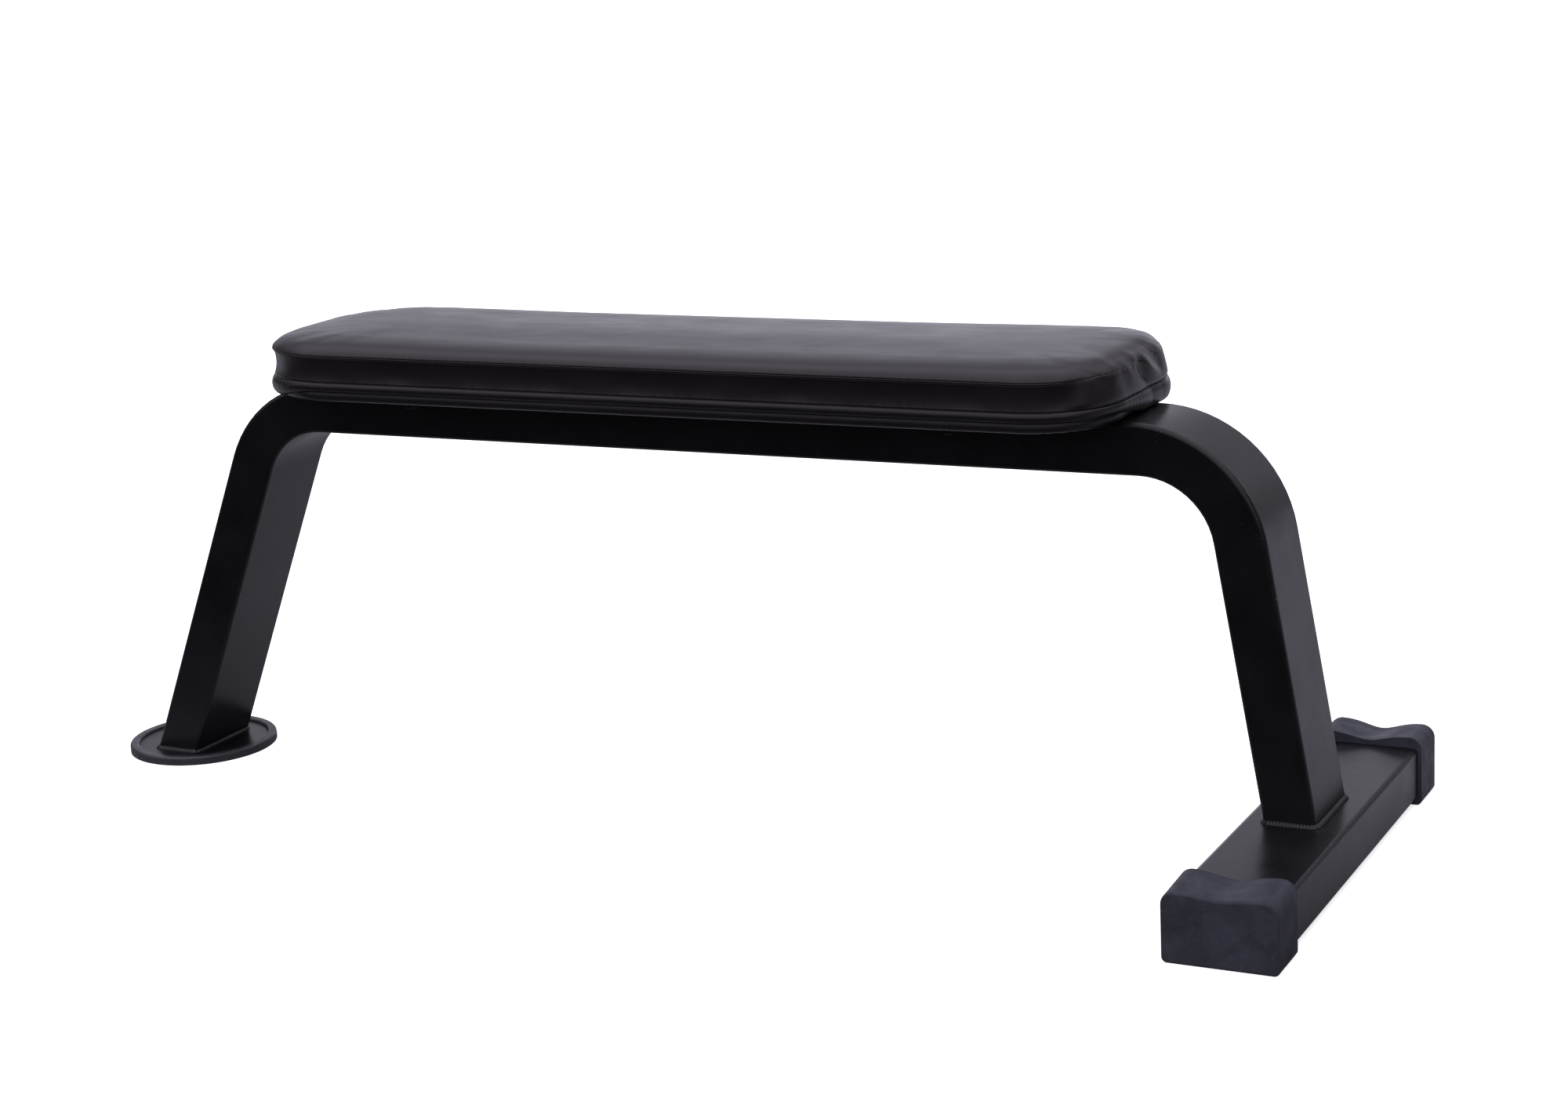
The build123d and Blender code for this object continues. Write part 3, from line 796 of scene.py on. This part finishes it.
def weld_bead(name, node, size):
    """A rippled, hollow fillet weld round a leg's foot. The CAD bead's own size is the height of
    its box, so that much inside the box is the leg."""
    low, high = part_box(node)
    spread = high.z - low.z
    leg = Outline(low.x + spread, high.x - spread, high.y - spread, WELD_CORNER, WELD_CORNER)

    def section(place, out, travel):
        waves = np.sin(2 * pi * travel / WELD_WAVE + 0.8 * np.sin(travel / 0.011))
        leg_length = size * (1 + 0.07 * waves + 0.07 * np.sin(travel / 0.0071))
        for angle in np.linspace(0, pi / 2, 8):
            height = low.z + leg_length * np.cos(angle) ** 1.5
            yield -leg_length * np.sin(angle) ** 1.5, height
        for height in (low.z, low.z + 0.7 * size):
            yield np.full(len(place), WELD_ROOT), height

    stand_for(ring(name, leg, WELD_STEPS, section, PAINT), node)


weld_bead("front_weld", "front_weld_bead", 3.5 * MM)
weld_bead("rear_weld", "rear_weld_bead", 3.2 * MM)


# ---------------------------------------------------------------------------------------------
# Floor and light

FLOOR_HALF = 60
# The floor's painted light and shade: to reflections and bounced light its colour is dark in front
# of the object and pale behind it
FLOOR_SPREAD = (-0.45, 0.25)  # from this y to this, what the floor throws back grows to its full
FLOOR_PALE = [(0.3, (0.8, 0.8, 0.803)), (0.7, (0.82, 0.82, 0.823))]
# painted shade in front and painted light behind: the floor's colour as reflections and bounced
# light see it
FLOOR_PAINTED_BOUNCE = [(0, (0.02, 0.02, 0.022)), (1, (0.36, 0.355, 0.385))]
# painted light: the floor's emission, seen by the camera only, that washes out its shadow
FLOOR_PAINTED_GLOW = (0.6, 0.6, 0.6)


def studio_floor():
    """Pale and shadowed softly to the camera, with a painted glow of its own. To all other rays its
    colour
    is painted light and shade: the light that it throws back is strong behind the object and weak
    in front, as where a studio's backdrop is lit and its front is flagged off."""
    made = Surface(
        "studio_floor", Roughness=0.9, IOR=1.3, Specular_IOR_Level=0.1, Emission_Strength=1.0
    )
    pale = made.ramp(made.noise(3, 3), FLOOR_PALE)
    y = made.node("ShaderNodeSeparateXYZ", {"Vector": made.place()}).outputs["Y"]
    painted_bounce = made.ramp(made.spread(y, 0.0, 1.0, *FLOOR_SPREAD), FLOOR_PAINTED_BOUNCE)
    seen = made.node("ShaderNodeLightPath").outputs["Is Camera Ray"]
    # painted light and shade: the camera sees the pale floor and its painted glow, other rays the
    # painted bounce colour
    made.drive(
        Base_Color=made.mix(seen, painted_bounce, pale),
        Emission_Color=made.mix(seen, BLACK, FLOOR_PAINTED_GLOW),
    )
    mesh = bpy.data.meshes.new("floor")
    corners = [(-1, -1), (1, -1), (1, 1), (-1, 1)]
    mesh.from_pydata([(FLOOR_HALF * x, FLOOR_HALF * y, 0) for x, y in corners], [], [(0, 1, 2, 3)])
    mesh.materials.append(made.material)
    floor = bpy.data.objects.new("floor", mesh)
    bpy.context.scene.collection.objects.link(floor)


# Strengths of the studio's parts, and the directions and heights between which each one grows
BACKDROP = 1.42
BACKDROP_FACING = (-0.3, 0.954, 0.0)
BACKDROP_SPREAD = (0.72, 1.0)
BACKDROP_HEIGHT = (0.41, 0.12)
OVERHEAD = 1.2
OVERHEAD_HEIGHT = (0.4, 0.75)
FRONT, SIDES = 0.8, 0.15
FRONT_SPREAD = (0.0, -0.5)
FRONT_HEIGHT = (0.06, 0.3)
DIM_STUDIO = 0.03
SEEN = 1.15
STUDIO_COLOUR = (0.89, 0.87, 1.0, 1)


def studio_world():
    """Pale all round to the camera. What the object reflects is bright low down behind it, softer
    overhead and in front, and dim below, as in a studio with a lit backdrop and soft banks."""
    world = bpy.data.worlds.new("studio")
    world.use_nodes = True
    tree = world.node_tree
    nodes, links = tree.nodes, tree.links
    direction = nodes.new("ShaderNodeTexCoord").outputs["Generated"]
    split = nodes.new("ShaderNodeSeparateXYZ")
    links.new(direction, split.inputs[0])
    facing = nodes.new("ShaderNodeVectorMath")
    facing.operation = "DOT_PRODUCT"
    facing.inputs[1].default_value = BACKDROP_FACING
    links.new(direction, facing.inputs[0])

    def grow(value, start, end, strength=1.0, base=0.0):
        made = nodes.new("ShaderNodeMapRange")
        made.interpolation_type = "SMOOTHSTEP"
        made.inputs["From Min"].default_value = start
        made.inputs["From Max"].default_value = end
        made.inputs["To Min"].default_value = base
        made.inputs["To Max"].default_value = strength
        links.new(value, made.inputs["Value"])
        return made.outputs["Result"]

    def combine(operation, first, second):
        made = nodes.new("ShaderNodeMath")
        made.operation = operation
        links.new(first, made.inputs[0])
        if isinstance(second, float):
            made.inputs[1].default_value = second
        else:
            links.new(second, made.inputs[1])
        return made.outputs[0]

    behind = grow(facing.outputs["Value"], *BACKDROP_SPREAD, BACKDROP)
    backdrop = combine("MULTIPLY", behind, grow(split.outputs["Z"], *BACKDROP_HEIGHT))
    overhead = grow(split.outputs["Z"], *OVERHEAD_HEIGHT, OVERHEAD)
    around = grow(split.outputs["Y"], *FRONT_SPREAD, FRONT, SIDES)
    front = combine("MULTIPLY", around, grow(split.outputs["Z"], *FRONT_HEIGHT))
    banks = combine("ADD", backdrop, combine("MAXIMUM", overhead, front))
    strength = nodes.new("ShaderNodeMix")
    strength.inputs["B"].default_value = SEEN
    links.new(nodes.new("ShaderNodeLightPath").outputs["Is Camera Ray"], strength.inputs["Factor"])
    links.new(combine("ADD", banks, DIM_STUDIO), strength.inputs["A"])
    background = nodes["Background"]
    background.inputs["Color"].default_value = STUDIO_COLOUR
    links.new(strength.outputs["Result"], background.inputs["Strength"])
    bpy.context.scene.world = world


def soft_light(name, energy, angle, tilt, roll):
    """A wide soft light that puts no highlight of its own on the object. Angles in degrees."""
    data = bpy.data.lights.new(name, "SUN")
    data.energy = energy
    data.angle = radians(angle)
    lamp = bpy.data.objects.new(name, data)
    lamp.rotation_euler = (radians(tilt), radians(roll), 0)
    lamp.visible_glossy = False
    bpy.context.scene.collection.objects.link(lamp)


studio_floor()
studio_world()
soft_light("overhead", energy=1.0, angle=110, tilt=-10, roll=8)
soft_light("front_fill", energy=1.3, angle=90, tilt=72, roll=14)
bpy.context.scene.view_settings.view_transform = "Standard"
bpy.context.scene.view_settings.look = "None"
